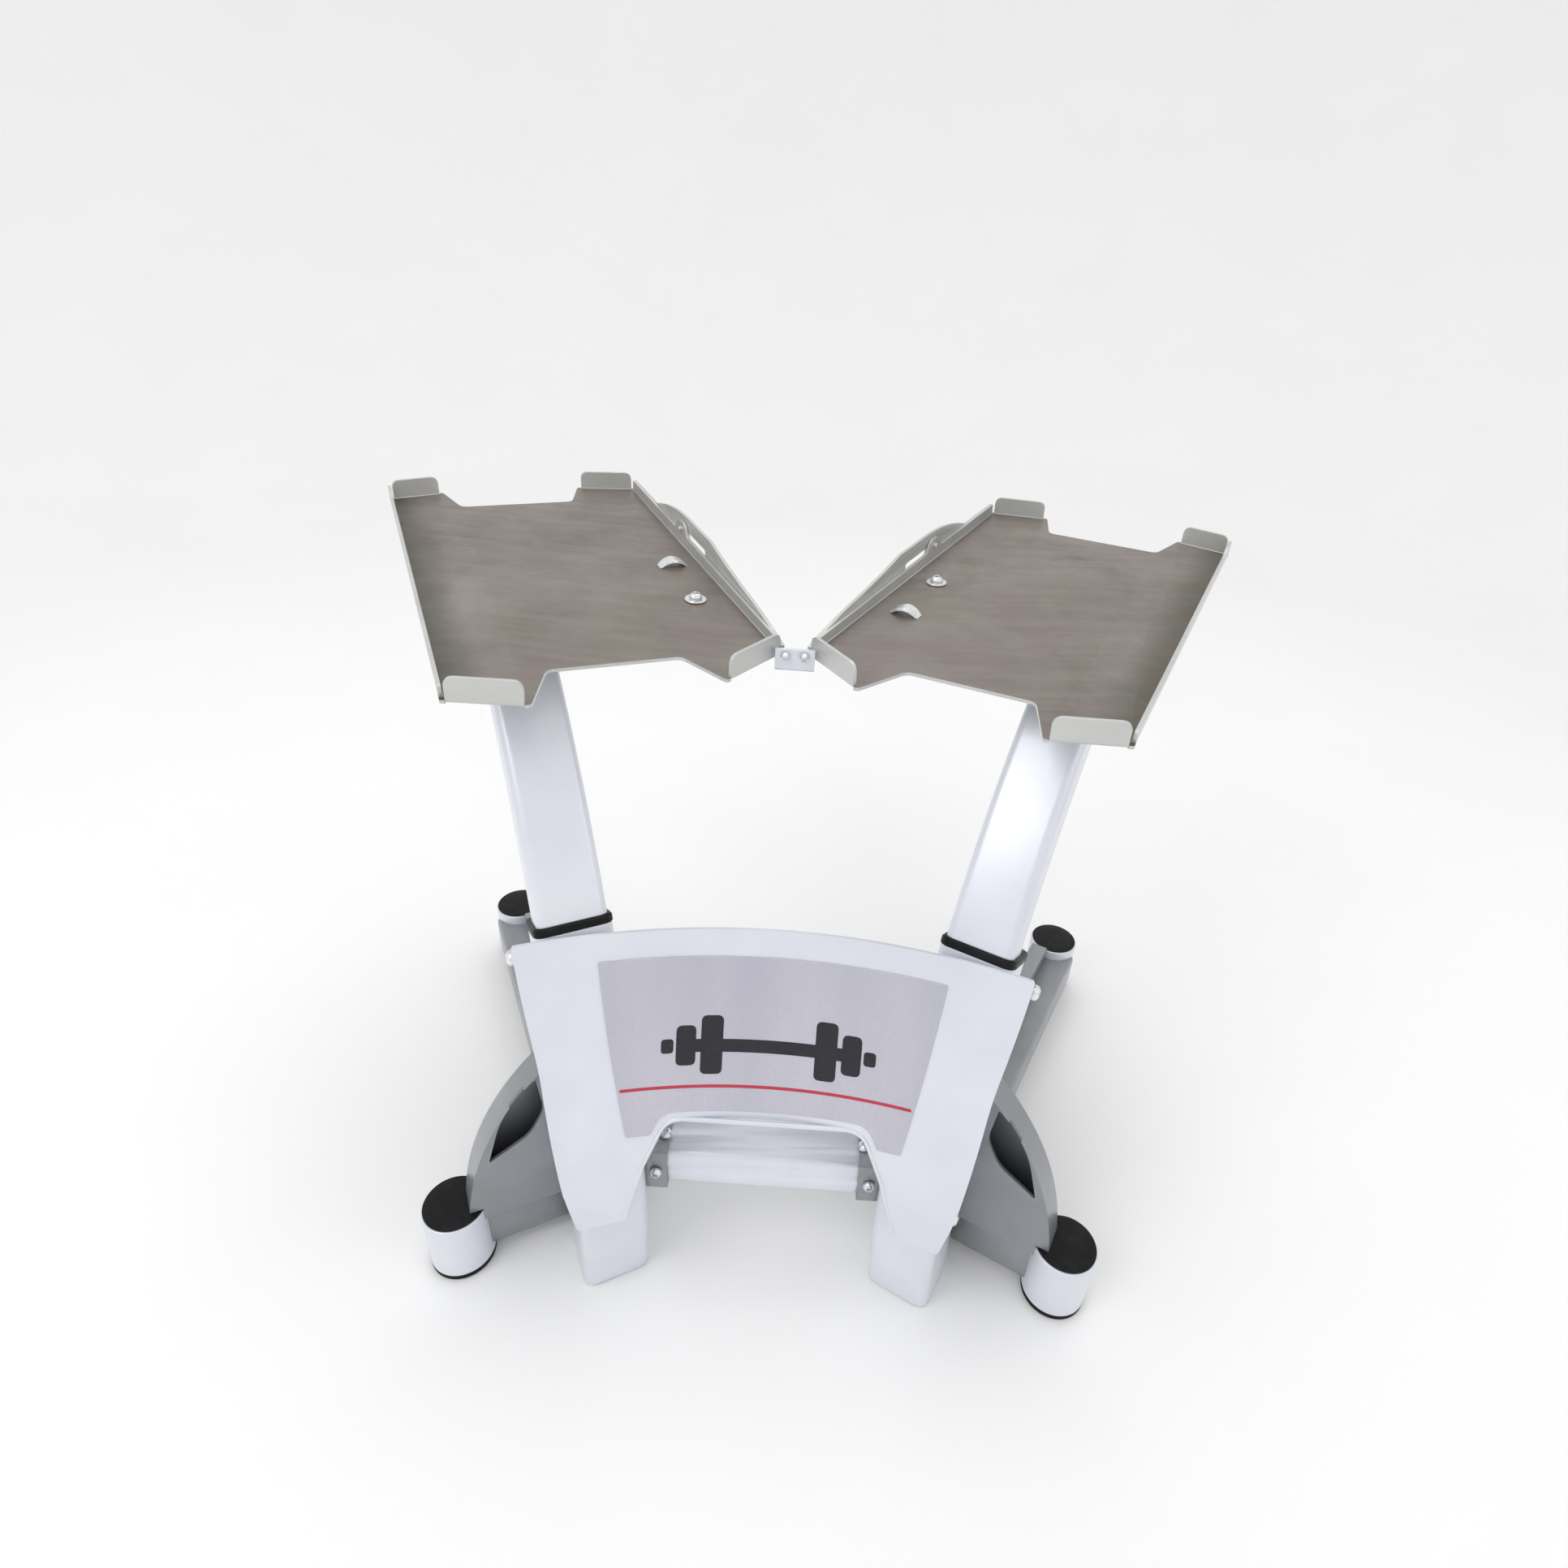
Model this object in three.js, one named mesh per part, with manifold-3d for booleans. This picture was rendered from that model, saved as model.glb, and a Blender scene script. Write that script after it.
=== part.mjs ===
// Dumbbell rack: two sheet-steel trays on bowed posts, with four round feet, gussets, a crossbar and a
// front panel. Millimetres, +Z up. The front faces -Y and the two halves mirror each other about x = 0.
// The origin is on the floor, at the middle of the footprint box.
import * as THREE from "three";
import { mergeVertices } from "three/addons/utils/BufferGeometryUtils.js";
import Module from "manifold-3d";

const wasm = await Module();
wasm.setup();

// ---- Driving dimensions ----
const GAP = 0.3; // air between pieces that touch on the real rack
const WALL = 2; // wall of every steel tube
const SHEET = 3; // thickness of the trays and brackets
const ROUND = 20; // sides of the round feet
const ROUND_BOLT = 10; // sides of the bolts and of their holes
const CENTRE_Y = -45.7; // puts the origin at the middle of the footprint

// Each half is turned outward. In its frame X (u) points outward, Y (v) backward and Z up.
const SPLAY = THREE.MathUtils.degToRad(27.65);
const HALF_X = 132.2;
const HALF_Y = -235.7;

// The upright and the post follow one bow, given by its front face and its centre of curvature.
const BOW = { v: 632, z: 95, front: 640 };
const UPRIGHT = { width: 62, depth: 60, corner: 11, top: 380 };
const POST = { width: 57, depth: 40, corner: 10, bottom: 310 };
const SHOE = { height: 6, plug: 24 };
const COLLAR = { width: 64.6, depth: 62.6, bottom: 364, top: 387 };

// The tray's frame: its origin is the inner front corner of the floor's top face.
const TRAY_AT = { u: -200, v: 120.4, z: 569.7 };
const TRAY_TILT = THREE.MathUtils.degToRad(4.86);
const TRAY = { width: 270, length: 440, lip: 19, outerFlange: 9, innerFlange: 11 };
const HEAD = { from: [15, 60], to: [245, 240], thick: 5, rib: 26 };

const FOOT = { radius: 29.75, height: 75, pad: 6, rim: 3, bore: 26.75 };
const FRONT_FOOT = [129, 85];
const REAR_FOOT = [-5, 510];
const LEG = { halfWidth: 27, bottom: 14, top: 60 };
const OUTRIGGER = { front: 70, back: 104 };
const GUSSET = { front: 66.5, back: 94, bottom: LEG.top + GAP };

const CROSSBAR = { front: -215, back: -175, bottom: 117, top: 157, sleeve: 3 };
const SLEEVE_END = 86; // how far from the centre the sleeves reach on the crossbar

const PANEL = { thick: 2.5, base: -227.5, lean: 1.03, radius: 516, top: 381 };
const LABEL_THICK = 1;

const LINK = { halfWidth: 16.5, front: -50, back: -14, bottom: 558.5, top: 578 };

// ---- Solids ----
// A closed three.js geometry as a solid that can be joined and cut.
function solid(geometry) {
  geometry.deleteAttribute("normal");
  geometry.deleteAttribute("uv");
  const merged = mergeVertices(geometry, 1e-4);
  return new wasm.Manifold(
    new wasm.Mesh({
      numProp: 3,
      vertProperties: new Float32Array(merged.attributes.position.array),
      triVerts: new Uint32Array(merged.index.array),
    }),
  );
}

function geometryOf(body) {
  const { numProp, vertProperties, triVerts } = body.getMesh();
  const geometry = new THREE.BufferGeometry();
  geometry.setAttribute("position", new THREE.BufferAttribute(vertProperties, numProp));
  geometry.setIndex(new THREE.BufferAttribute(triVerts, 1));
  geometry.computeVertexNormals();
  return geometry;
}

function block([x0, y0, z0], [x1, y1, z1]) {
  const box = new THREE.BoxGeometry(x1 - x0, y1 - y0, z1 - z0);
  return solid(box.translate((x0 + x1) / 2, (y0 + y1) / 2, (z0 + z1) / 2));
}

// A closed outline. Each point is [x, y] or [x, y, setback], where the setback rounds the corner.
function outline(points) {
  const shape = new THREE.Shape();
  points.forEach(([x, y, setback = 0], i) => {
    const here = new THREE.Vector2(x, y);
    const towards = (neighbour) => {
      const other = new THREE.Vector2(neighbour[0], neighbour[1]);
      return other.sub(here).setLength(setback).add(here);
    };
    const start = towards(points.at(i - 1));
    const end = towards(points[(i + 1) % points.length]);
    if (i === 0) shape.moveTo(start.x, start.y);
    else shape.lineTo(start.x, start.y);
    if (setback > 0) shape.quadraticCurveTo(x, y, end.x, end.y);
  });
  return shape;
}

function rectangle(x0, x1, y0, y1, setback = 0) {
  return outline([
    [x0, y0, setback],
    [x1, y0, setback],
    [x1, y1, setback],
    [x0, y1, setback],
  ]);
}

// A flat outline in X and Y, made solid between two heights.
function slab(shape, low, high, curveSegments = 4) {
  const settings = { depth: high - low, bevelEnabled: false, curveSegments };
  return solid(new THREE.ExtrudeGeometry(shape, settings).translate(0, 0, low));
}

// An outline drawn in X and Z, made solid between two Y values.
function wall(shape, front, back, curveSegments = 4) {
  const settings = { depth: back - front, bevelEnabled: false, curveSegments };
  const geometry = new THREE.ExtrudeGeometry(shape, settings).rotateX(Math.PI / 2);
  return solid(geometry.translate(0, back, 0));
}

// An outline drawn in Y and Z, made solid between two X values.
function rib(shape, left, right, curveSegments = 4) {
  const settings = { depth: right - left, bevelEnabled: false, curveSegments };
  const geometry = new THREE.ExtrudeGeometry(shape, settings);
  geometry.applyMatrix4(new THREE.Matrix4().set(0, 0, 1, left, 1, 0, 0, 0, 0, 1, 0, 0, 0, 0, 0, 1));
  return solid(geometry);
}

// A turned solid: the profile lists [radius, height] from the axis at the bottom to the axis at the top.
function turned(profile, segments = ROUND) {
  const points = profile.map(([radius, height]) => new THREE.Vector2(radius, height));
  return solid(new THREE.LatheGeometry(points, segments).rotateX(Math.PI / 2));
}

function cylinder(radius, low, high, segments = ROUND) {
  return turned([[0, low], [radius, low], [radius, high], [0, high]], segments);
}

// Lays a solid made along +Z along another axis and moves it to a place.
function aim(body, axis, place) {
  const turn = new THREE.Quaternion().setFromUnitVectors(
    new THREE.Vector3(0, 0, 1),
    new THREE.Vector3(...axis).normalize(),
  );
  const one = new THREE.Vector3(1, 1, 1);
  return body.transform(new THREE.Matrix4().compose(new THREE.Vector3(...place), turn, one).elements);
}

const standMatrix = new THREE.Matrix4().makeRotationZ(-SPLAY).setPosition(HALF_X, HALF_Y, 0);
const trayMatrix = new THREE.Matrix4()
  .makeRotationX(TRAY_TILT)
  .setPosition(TRAY_AT.u, TRAY_AT.v, TRAY_AT.z);
const inWorld = (body) => body.transform(standMatrix.elements);
const trayInStand = (body) => body.transform(trayMatrix.elements);
const mirrored = (body) => body.mirror([1, 0, 0]);
const bothSides = (body) => body.add(mirrored(body));

// ---- The bow of the upright and the post ----
class BowPath extends THREE.Curve {
  constructor(radius, start, end) {
    super();
    Object.assign(this, { radius, start, end });
  }
  getPoint(t, target = new THREE.Vector3()) {
    const angle = THREE.MathUtils.lerp(this.start, this.end, t);
    const v = BOW.v - this.radius * Math.cos(angle);
    return target.set(0, v, BOW.z + this.radius * Math.sin(angle));
  }
}

const BOW_STEP = 0.11; // radians between two sections of the bow
const bowAngle = (z) => Math.asin((z - BOW.z) / BOW.front);
// How far behind the frame's origin the front of the bow lies at a height.
const bowFront = (z) => BOW.v - Math.sqrt(BOW.front ** 2 - (z - BOW.z) ** 2);

// A bar that follows the bow. front is how far its front face stands back from the bow's front.
function bowBar({ width, depth, corner, front = 0 }, low, high) {
  const shape = rectangle(-width / 2, width / 2, -depth / 2, depth / 2, corner);
  const first = Math.floor(bowAngle(low) / BOW_STEP) - 1;
  const last = Math.ceil(bowAngle(high) / BOW_STEP) + 1;
  const path = new BowPath(BOW.front - front - depth / 2, first * BOW_STEP, last * BOW_STEP);
  const settings = { steps: last - first, bevelEnabled: false, extrudePath: path, curveSegments: 3 };
  return solid(new THREE.ExtrudeGeometry(shape, settings));
}

// Grows (or with a negative amount shrinks) a bar's section on every side.
const grown = ({ width, depth, corner, front = 0 }, by) => ({
  width: width + 2 * by,
  depth: depth + 2 * by,
  corner: corner + by,
  front: front - by,
});

// The bow leans forward, so a slice at right angles to it is kept between two heights of its front face.
function bowSlice(low, high) {
  const cut = (z) => {
    const reach = 80;
    const angle = bowAngle(z);
    const at = (radius) => [BOW.v - radius * Math.cos(angle), BOW.z + radius * Math.sin(angle)];
    return [at(BOW.front + reach), at(BOW.front - reach)];
  };
  const [frontLow, backLow] = cut(low);
  const [frontHigh, backHigh] = cut(high);
  return rib(outline([frontLow, backLow, backHigh, frontHigh]), -100, 100);
}

// ---- Fasteners: each is one solid, made along +Z with the underside of its head at z = 0 ----
const HEAD_RADIUS = 6.5;
const SHANK_RADIUS = 3.7;
const HOLE_RADIUS = SHANK_RADIUS + GAP;
const SCREW = { head: 5.5, shank: 3.2 };

function bolt(length, { head = HEAD_RADIUS, shank = SHANK_RADIUS, nut = 0, washer = 0 } = {}) {
  const profile = [[0, -length]];
  profile.push([shank, -length]);
  if (nut > 0) {
    profile.push([shank, -nut - 5], [head - 0.5, -nut - 5], [head - 0.5, -nut], [shank, -nut]);
  }
  profile.push([shank, 0]);
  if (washer > 0) profile.push([washer, 0], [washer, 1.5], [head, 1.5]);
  else profile.push([head, 0]);
  profile.push([head, 2.4], [head * 0.7, 4.8], [0, 5.6]);
  return turned(profile, ROUND_BOLT);
}

const hole = (radius = HOLE_RADIUS) => cylinder(radius, -60, 60, ROUND_BOLT);

// ---- Trays ----
const FLOOR_FIXINGS = [
  [36, 116],
  [31, 199],
];
const SIDE_BOLT = { v: 257, height: 15 };
const LIPS = [
  { from: [3, -1.6], to: [56, -29.8] },
  { from: [212, -29.6], to: [267, -6.3] },
  { from: [267, 442.2], to: [214, 452.8] },
  { from: [64, 450.8], to: [6, 439.2] },
];

const trayOutline = outline([
  [0, 0],
  [62, -33, 4],
  [84, 14, 5],
  [190, 20, 5],
  [211, -30, 4],
  [270, -5, 2],
  [268, 442, 2],
  [213, 453, 4],
  [200, 403, 6],
  [82, 403, 6],
  [65, 451, 4],
  [0, 438],
]);

// A lip stands on the floor's edge between two points, with its outer face on the edge.
function lip({ from, to }) {
  const start = new THREE.Vector2(...from);
  const run = new THREE.Vector2(...to).sub(start);
  const length = run.length();
  const height = TRAY.lip;
  const shape = outline([[0, -SHEET], [length, -SHEET], [length, height, 8], [0, height, 8]]);
  const plate = wall(shape, 0, SHEET);
  const turn = new THREE.Matrix4().makeRotationZ(run.angle()).setPosition(start.x, start.y, 0);
  return plate.transform(turn.elements);
}

function traySolid() {
  const { width, length, outerFlange, innerFlange } = TRAY;
  const outer = outline([
    [-4, -SHEET],
    [441, -SHEET],
    [441, 16, 3],
    [424, 15, 4],
    [405, outerFlange],
    [-4, outerFlange, 3],
  ]);
  const inner = outline([
    [1, -SHEET],
    [437, -SHEET],
    [437, innerFlange, 4],
    [SIDE_BOLT.v + 16, innerFlange, 4],
    [SIDE_BOLT.v + 10, SIDE_BOLT.height + 8, 5],
    [SIDE_BOLT.v - 10, SIDE_BOLT.height + 8, 5],
    [SIDE_BOLT.v - 16, innerFlange, 4],
    [1, innerFlange - 2, 2],
  ]);
  let body = slab(trayOutline, -SHEET, 0)
    .add(rib(outer, width - 1.5 - SHEET, width - 1.5))
    .add(rib(inner, 0, SHEET));
  for (const place of LIPS) body = body.add(lip(place));
  for (const [u, v] of FLOOR_FIXINGS) body = body.subtract(hole().translate(u, v, 0));
  body = body.subtract(aim(hole(), [1, 0, 0], [0, SIDE_BOLT.v, SIDE_BOLT.height]));
  // The outer and inner flanges stop at the floor's ends.
  return body.intersect(block([0, -60, -10], [width, length + 30, 60]));
}

// The arched plate beside the inner flange, with its long slot.
function sidePlateSolid() {
  const arch = new THREE.Shape();
  arch.moveTo(4, -SHEET);
  arch.lineTo(440, -SHEET);
  arch.lineTo(440, 9);
  arch.lineTo(357, 9);
  arch.quadraticCurveTo(300, 29, 245, 29);
  arch.lineTo(180, 29);
  arch.quadraticCurveTo(130, 20, 84, 16);
  arch.quadraticCurveTo(40, 12, 4, 4);
  arch.holes.push(new THREE.Path(rectangle(192, 246, 8, 15.5, 4).getPoints(4)));
  const plate = rib(arch, -SHEET - GAP, -GAP, 6);
  return plate.subtract(aim(hole(), [1, 0, 0], [0, SIDE_BOLT.v, SIDE_BOLT.height]));
}

// The plate that the post's top is welded to, with two ribs beside the post.
const HEAD_TOP = -SHEET - GAP;
const HEAD_BOTTOM = HEAD_TOP - HEAD.thick;
function headSolid() {
  const { from, to, rib: depth } = HEAD;
  let body = slab(rectangle(from[0], to[0], from[1], to[1], 14), HEAD_BOTTOM, HEAD_TOP);
  const web = outline([
    [66, HEAD_BOTTOM + 1],
    [232, HEAD_BOTTOM + 1],
    [232, HEAD_BOTTOM - 6, 3],
    [150, HEAD_BOTTOM - depth, 12],
    [92, HEAD_BOTTOM - depth, 12],
  ]);
  const middle = -TRAY_AT.u;
  for (const side of [-1, 1]) {
    const near = middle + side * (POST.width / 2 + 4);
    body = body.add(rib(web, Math.min(near, near + side * 5), Math.max(near, near + side * 5)));
  }
  for (const [u, v] of FLOOR_FIXINGS) body = body.subtract(hole().translate(u, v, 0));
  return body;
}

// A pressed clip that stands over the floor like a low bridge, on a bolt of its own.
function clipSolid() {
  const arch = new THREE.Shape();
  arch.moveTo(-14, GAP);
  arch.quadraticCurveTo(0, 15, 14, GAP);
  arch.lineTo(9, GAP);
  arch.quadraticCurveTo(0, 9, -9, GAP);
  const bridge = wall(arch, -7, 7, 6);
  const shank = cylinder(SHANK_RADIUS, -17, 6, ROUND_BOLT);
  return bridge.add(shank).add(cylinder(6, -15, HEAD_BOTTOM - GAP, 6));
}

// ---- Feet ----
const sleeve = turned([
  [0, FOOT.pad + GAP],
  [FOOT.radius, FOOT.pad + GAP],
  [FOOT.radius, FOOT.height - FOOT.rim],
  [0, FOOT.height - FOOT.rim],
]).subtract(cylinder(FOOT.bore, -1, 100));

const cap = turned([
  [0, 46],
  [FOOT.bore - GAP, 46],
  [FOOT.bore - GAP, FOOT.height - FOOT.rim + GAP],
  [FOOT.radius - 1.2, FOOT.height - FOOT.rim + GAP],
  [FOOT.radius - 4, FOOT.height - 1],
  [0, FOOT.height],
]).subtract(cylinder(FOOT.bore - 3, 0, FOOT.height - 6, 12));

const pad = turned([
  [0, 0],
  [FOOT.radius, 0],
  [FOOT.radius, FOOT.pad],
  [FOOT.bore - GAP, FOOT.pad],
  [FOOT.bore - GAP, 20],
  [0, 20],
]);

// ---- Base ----
const footRoom = (at) => cylinder(FOOT.radius + GAP, -1, FOOT.height + GAP).translate(...at, 0);

const uprightRoom = bowBar(grown(UPRIGHT, GAP), -40, 480);

// A rectangular tube along Y.
function tube(x0, x1, z0, z1, corner, from, to) {
  const outside = wall(rectangle(x0, x1, z0, z1, corner), from, to, 3);
  const inside = rectangle(x0 + WALL, x1 - WALL, z0 + WALL, z1 - WALL, corner - WALL);
  return outside.subtract(wall(inside, from - 10, to + 10, 3));
}

// Turns a bar that runs along +Y, so that it runs along +X and its old X becomes -Y.
function alongX(bar) {
  return bar.transform(new THREE.Matrix4().makeRotationZ(-Math.PI / 2).elements);
}

function rearLegSolid() {
  const { halfWidth, bottom, top } = LEG;
  const v = REAR_FOOT[1];
  return tube(-halfWidth, halfWidth, bottom, top, 8, 30, v)
    .subtract(uprightRoom)
    .subtract(footRoom(REAR_FOOT))
    .intersect(block([-50, 50, 0], [50, v - 5, 90]));
}

function outriggerSolid() {
  const { front, back } = OUTRIGGER;
  const [u] = FRONT_FOOT;
  return alongX(tube(-back, -front, LEG.bottom, LEG.top, 7, LEG.halfWidth + GAP, u))
    .subtract(footRoom(FRONT_FOOT))
    .intersect(block([0, 50, 0], [u - 10, 130, 90]));
}

// The outer curve of the front gusset, drawn in u and z, set in by an amount.
function frontGussetShape(inset) {
  const shape = new THREE.Shape();
  const low = GUSSET.bottom + inset;
  shape.moveTo(-24 + inset, low);
  shape.lineTo(119 - inset, low);
  shape.quadraticCurveTo(110 - inset, 172 - inset, 28, 238 - inset);
  shape.lineTo(-24 + inset, 238 - inset);
  return shape;
}

const windowShape = outline([
  [45, 221, 3],
  [41, 180, 10],
  [56, 154, 9],
  [94, 134, 4],
  [80, 180, 15],
  [62, 207, 8],
]);

function frontGussetSolid() {
  const web = (u) => block([u, 40, GUSSET.bottom], [u + SHEET, GUSSET.front + 1, 236]);
  return wall(frontGussetShape(0), GUSSET.front, GUSSET.back, 8)
    .add(web(-24))
    .add(web(21))
    .subtract(wall(frontGussetShape(SHEET), GUSSET.front + SHEET, GUSSET.back - SHEET, 8))
    .subtract(wall(windowShape, GUSSET.front - 5, GUSSET.front + 5, 3))
    .subtract(uprightRoom)
    .subtract(footRoom(FRONT_FOOT))
    .intersect(block([-24, 50, 0], [130, 120, 300]));
}

// The rear gusset is a narrow box on the rear leg, open towards the leg. It is drawn in v and z.
const REAR_GUSSET = { from: -26, to: -6, end: 479 };
function rearGussetShape(inset) {
  const bottom = inset > 0 ? GUSSET.bottom - 5 : GUSSET.bottom;
  const shape = new THREE.Shape();
  shape.moveTo(GUSSET.back + GAP + inset, bottom);
  shape.lineTo(REAR_GUSSET.end - inset, bottom);
  shape.lineTo(REAR_GUSSET.end - inset, 78 - inset);
  shape.quadraticCurveTo(250, 90 - inset, GUSSET.back + GAP + inset, 230 - inset);
  return shape;
}

function rearGussetSolid() {
  const { from, to } = REAR_GUSSET;
  const inside = rib(rearGussetShape(SHEET), from + SHEET, to - SHEET, 6);
  return rib(rearGussetShape(0), from, to, 6).subtract(inside).subtract(footRoom(REAR_FOOT));
}

// ---- Upright, shoe, collar and post ----
const outerSide = UPRIGHT.width / 2;
const TOP_BOLT = { v: 68, z: 361.5, tab: 48.8 };
const LOW_BOLT = { v: 20, z: 121, tab: 34.1 };
const sideHole = ({ v, z }) => {
  return aim(cylinder(HOLE_RADIUS, 0, 45, ROUND_BOLT), [1, 0, 0], [10, v, z]);
};

function uprightSolid() {
  return bowBar(UPRIGHT, 0, UPRIGHT.top)
    .subtract(bowBar(grown(UPRIGHT, -WALL), 0, UPRIGHT.top))
    .intersect(bowSlice(-60, UPRIGHT.top))
    .intersect(block([-60, -60, SHOE.height + GAP], [60, 300, 500]))
    .subtract(sideHole(TOP_BOLT))
    .subtract(sideHole(LOW_BOLT));
}

function shoeSolid() {
  const flange = bowBar(UPRIGHT, 0, 60).intersect(block([-60, -60, 0], [60, 120, SHOE.height]));
  const plug = bowBar(grown(UPRIGHT, -WALL - GAP), 0, 60)
    .subtract(bowBar(grown(UPRIGHT, -WALL - GAP - SHEET), 0, 60))
    .intersect(block([-60, -60, SHOE.height - 1], [60, 120, SHOE.plug]));
  return flange.add(plug);
}

const postOuter = { ...POST, front: WALL + GAP };
function postSolid() {
  const belowTray = trayInStand(block([-200, -200, -700], [500, 600, HEAD_BOTTOM - GAP]));
  return bowBar(postOuter, POST.bottom, 570)
    .subtract(bowBar(grown(postOuter, -WALL), POST.bottom, 570))
    .intersect(bowSlice(POST.bottom, 600))
    .intersect(belowTray)
    .subtract(sideHole(TOP_BOLT));
}

function collarSolid() {
  const outer = { width: COLLAR.width, depth: COLLAR.depth, corner: 11, front: -GAP };
  const cover = bowBar(outer, COLLAR.bottom, COLLAR.top).intersect(
    bowSlice(UPRIGHT.top + GAP, COLLAR.top),
  );
  const insert = bowBar(grown(UPRIGHT, -WALL - GAP), COLLAR.bottom, COLLAR.top).intersect(
    bowSlice(COLLAR.bottom + 12, COLLAR.top - 1),
  );
  const room = bowBar(grown(postOuter, GAP), COLLAR.bottom - 30, COLLAR.top + 30);
  return cover.add(insert).subtract(room);
}

// ---- Crossbar and its sleeves ----
const besideUpright = inWorld(block([-outerSide - GAP, -200, -10], [300, 300, 400]));

const TOP_SCREW = [90, -198, CROSSBAR.top + CROSSBAR.sleeve + 2 * GAP];
const FRONT_SCREW = [96, CROSSBAR.front - CROSSBAR.sleeve - 2 * GAP, 137];
const SCREW_HOLE = cylinder(SCREW.shank + GAP, -20, 20, ROUND_BOLT);
const screwHoles = aim(SCREW_HOLE, [0, 0, 1], TOP_SCREW).add(aim(SCREW_HOLE, [0, -1, 0], FRONT_SCREW));

function crossbarSolid() {
  const { front, back, bottom, top } = CROSSBAR;
  const bar = alongX(tube(-back, -front, bottom, top, 6, -170, 170));
  return bar.subtract(bothSides(besideUpright.add(screwHoles)));
}

function sleeveSolid() {
  const { front, back, bottom, top, sleeve: thick } = CROSSBAR;
  const inside = [front - GAP, back + GAP, bottom - GAP, top + GAP];
  const shell = block(
    [SLEEVE_END, inside[0] - thick, inside[2] - thick],
    [170, inside[1] + thick, inside[3] + thick],
  ).subtract(block([0, inside[0], inside[2]], [200, inside[1], inside[3]]));
  return shell.subtract(besideUpright).subtract(screwHoles);
}

// ---- Front panel: bowed like the uprights, and hollow towards the front in plan ----
const panelBack = (x, z) => PANEL.base + PANEL.lean * bowFront(z) - x ** 2 / (2 * PANEL.radius);

// A sheet between two offsets in front of the panel's back surface. Every sheet has the same facets.
function bowedSheet(near, far) {
  const box = new THREE.BoxGeometry(430, far - near, 305, 18, 1, 8);
  box.translate(0, -(near + far) / 2, 242.5);
  const places = box.attributes.position;
  for (let i = 0; i < places.count; i++) {
    places.setY(i, places.getY(i) + panelBack(places.getX(i), places.getZ(i)));
  }
  return solid(box);
}

const OUTER_EDGE = [
  [203.6, PANEL.top, 2],
  [181, 283],
  [166.5, 157],
  [157, 108, 4],
];
const panelOutline = () => {
  const right = [
    ...OUTER_EDGE,
    [117.5, 112, 4],
    [102, 176],
    [83, 223, 12],
  ];
  const left = right.map(([x, z, setback]) => [-x, z, setback]).reverse();
  return outline([...right, ...left]);
};

// A tab on the panel's back, with a hole for the bolt that holds it to the upright's side.
function panelTab({ v, z, tab }) {
  const reach = panelBack(HALF_X + 45, z) - HALF_Y;
  const plate = block([tab - SHEET, reach - 30, z - 12], [tab, v + 12, z + 12]);
  return inWorld(plate.subtract(aim(hole(), [1, 0, 0], [tab, v, z])));
}

function panelSolid() {
  const sheet = bowedSheet(0, PANEL.thick);
  const behind = bowedSheet(-70, 1);
  const tabs = bothSides(panelTab(TOP_BOLT).add(panelTab(LOW_BOLT))).intersect(behind);
  return sheet.intersect(wall(panelOutline(), -400, 0, 4)).add(tabs);
}

function labelSolid() {
  const front = PANEL.thick + GAP;
  const sheet = bowedSheet(front, front + LABEL_THICK);
  const shape = outline([
    [-139.5, 361.5],
    [139.5, 361.5],
    [115, 209.5],
    [95.5, 209.5],
    [86, 231, 10],
    [-86, 231, 10],
    [-95.5, 209.5],
    [-115, 209.5],
  ]);
  return sheet.intersect(wall(shape, -400, 0, 4));
}

// ---- Link between the trays' inner front corners ----
const LINK_SCREW = { x: 8, z: 572 };
function linkSolid() {
  const { halfWidth, front, back, bottom, top } = LINK;
  const profile = outline([
    [front, top],
    [front, bottom, 3],
    [back, bottom],
    [back, bottom + SHEET],
    [front + SHEET, bottom + SHEET, 2],
    [front + SHEET, top],
  ]);
  let body = rib(profile, -halfWidth, halfWidth);
  for (const side of [-1, 1]) {
    body = body.subtract(aim(hole(2.8), [0, 1, 0], [side * LINK_SCREW.x, front, LINK_SCREW.z]));
  }
  return body;
}

// ---- Materials ----
const paint = new THREE.MeshStandardMaterial({ color: 0xdcdfe8, roughness: 0.3, metalness: 0.25 });
const greyPaint = new THREE.MeshStandardMaterial({ color: 0x9a9ca3, roughness: 0.4, metalness: 0.3 });
const trayMetal = new THREE.MeshStandardMaterial({ color: 0x857c70, roughness: 0.5, metalness: 0.6 });
const brushed = new THREE.MeshStandardMaterial({ color: 0xc4c4d0, roughness: 0.4, metalness: 0.6 });
const black = new THREE.MeshStandardMaterial({ color: 0x0d0d0f, roughness: 0.5, metalness: 0 });
const rubber = new THREE.MeshStandardMaterial({ color: 0x151515, roughness: 0.8, metalness: 0 });
const zinc = new THREE.MeshStandardMaterial({ color: 0xe6e6e8, roughness: 0.25, metalness: 0.9 });

// ---- Assembly ----
const rack = new THREE.Group();
rack.position.y = CENTRE_Y;

function add(parent, name, body, material) {
  const mesh = new THREE.Mesh(geometryOf(body), material);
  mesh.name = name;
  parent.add(mesh);
  return mesh;
}

const lowBolt = bolt(14);
const topBolt = bolt(26).add(cylinder(6, -SHEET - 2 * GAP - 13.5, -SHEET - GAP, ROUND_BOLT));
const screw = bolt(12, SCREW);

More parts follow.
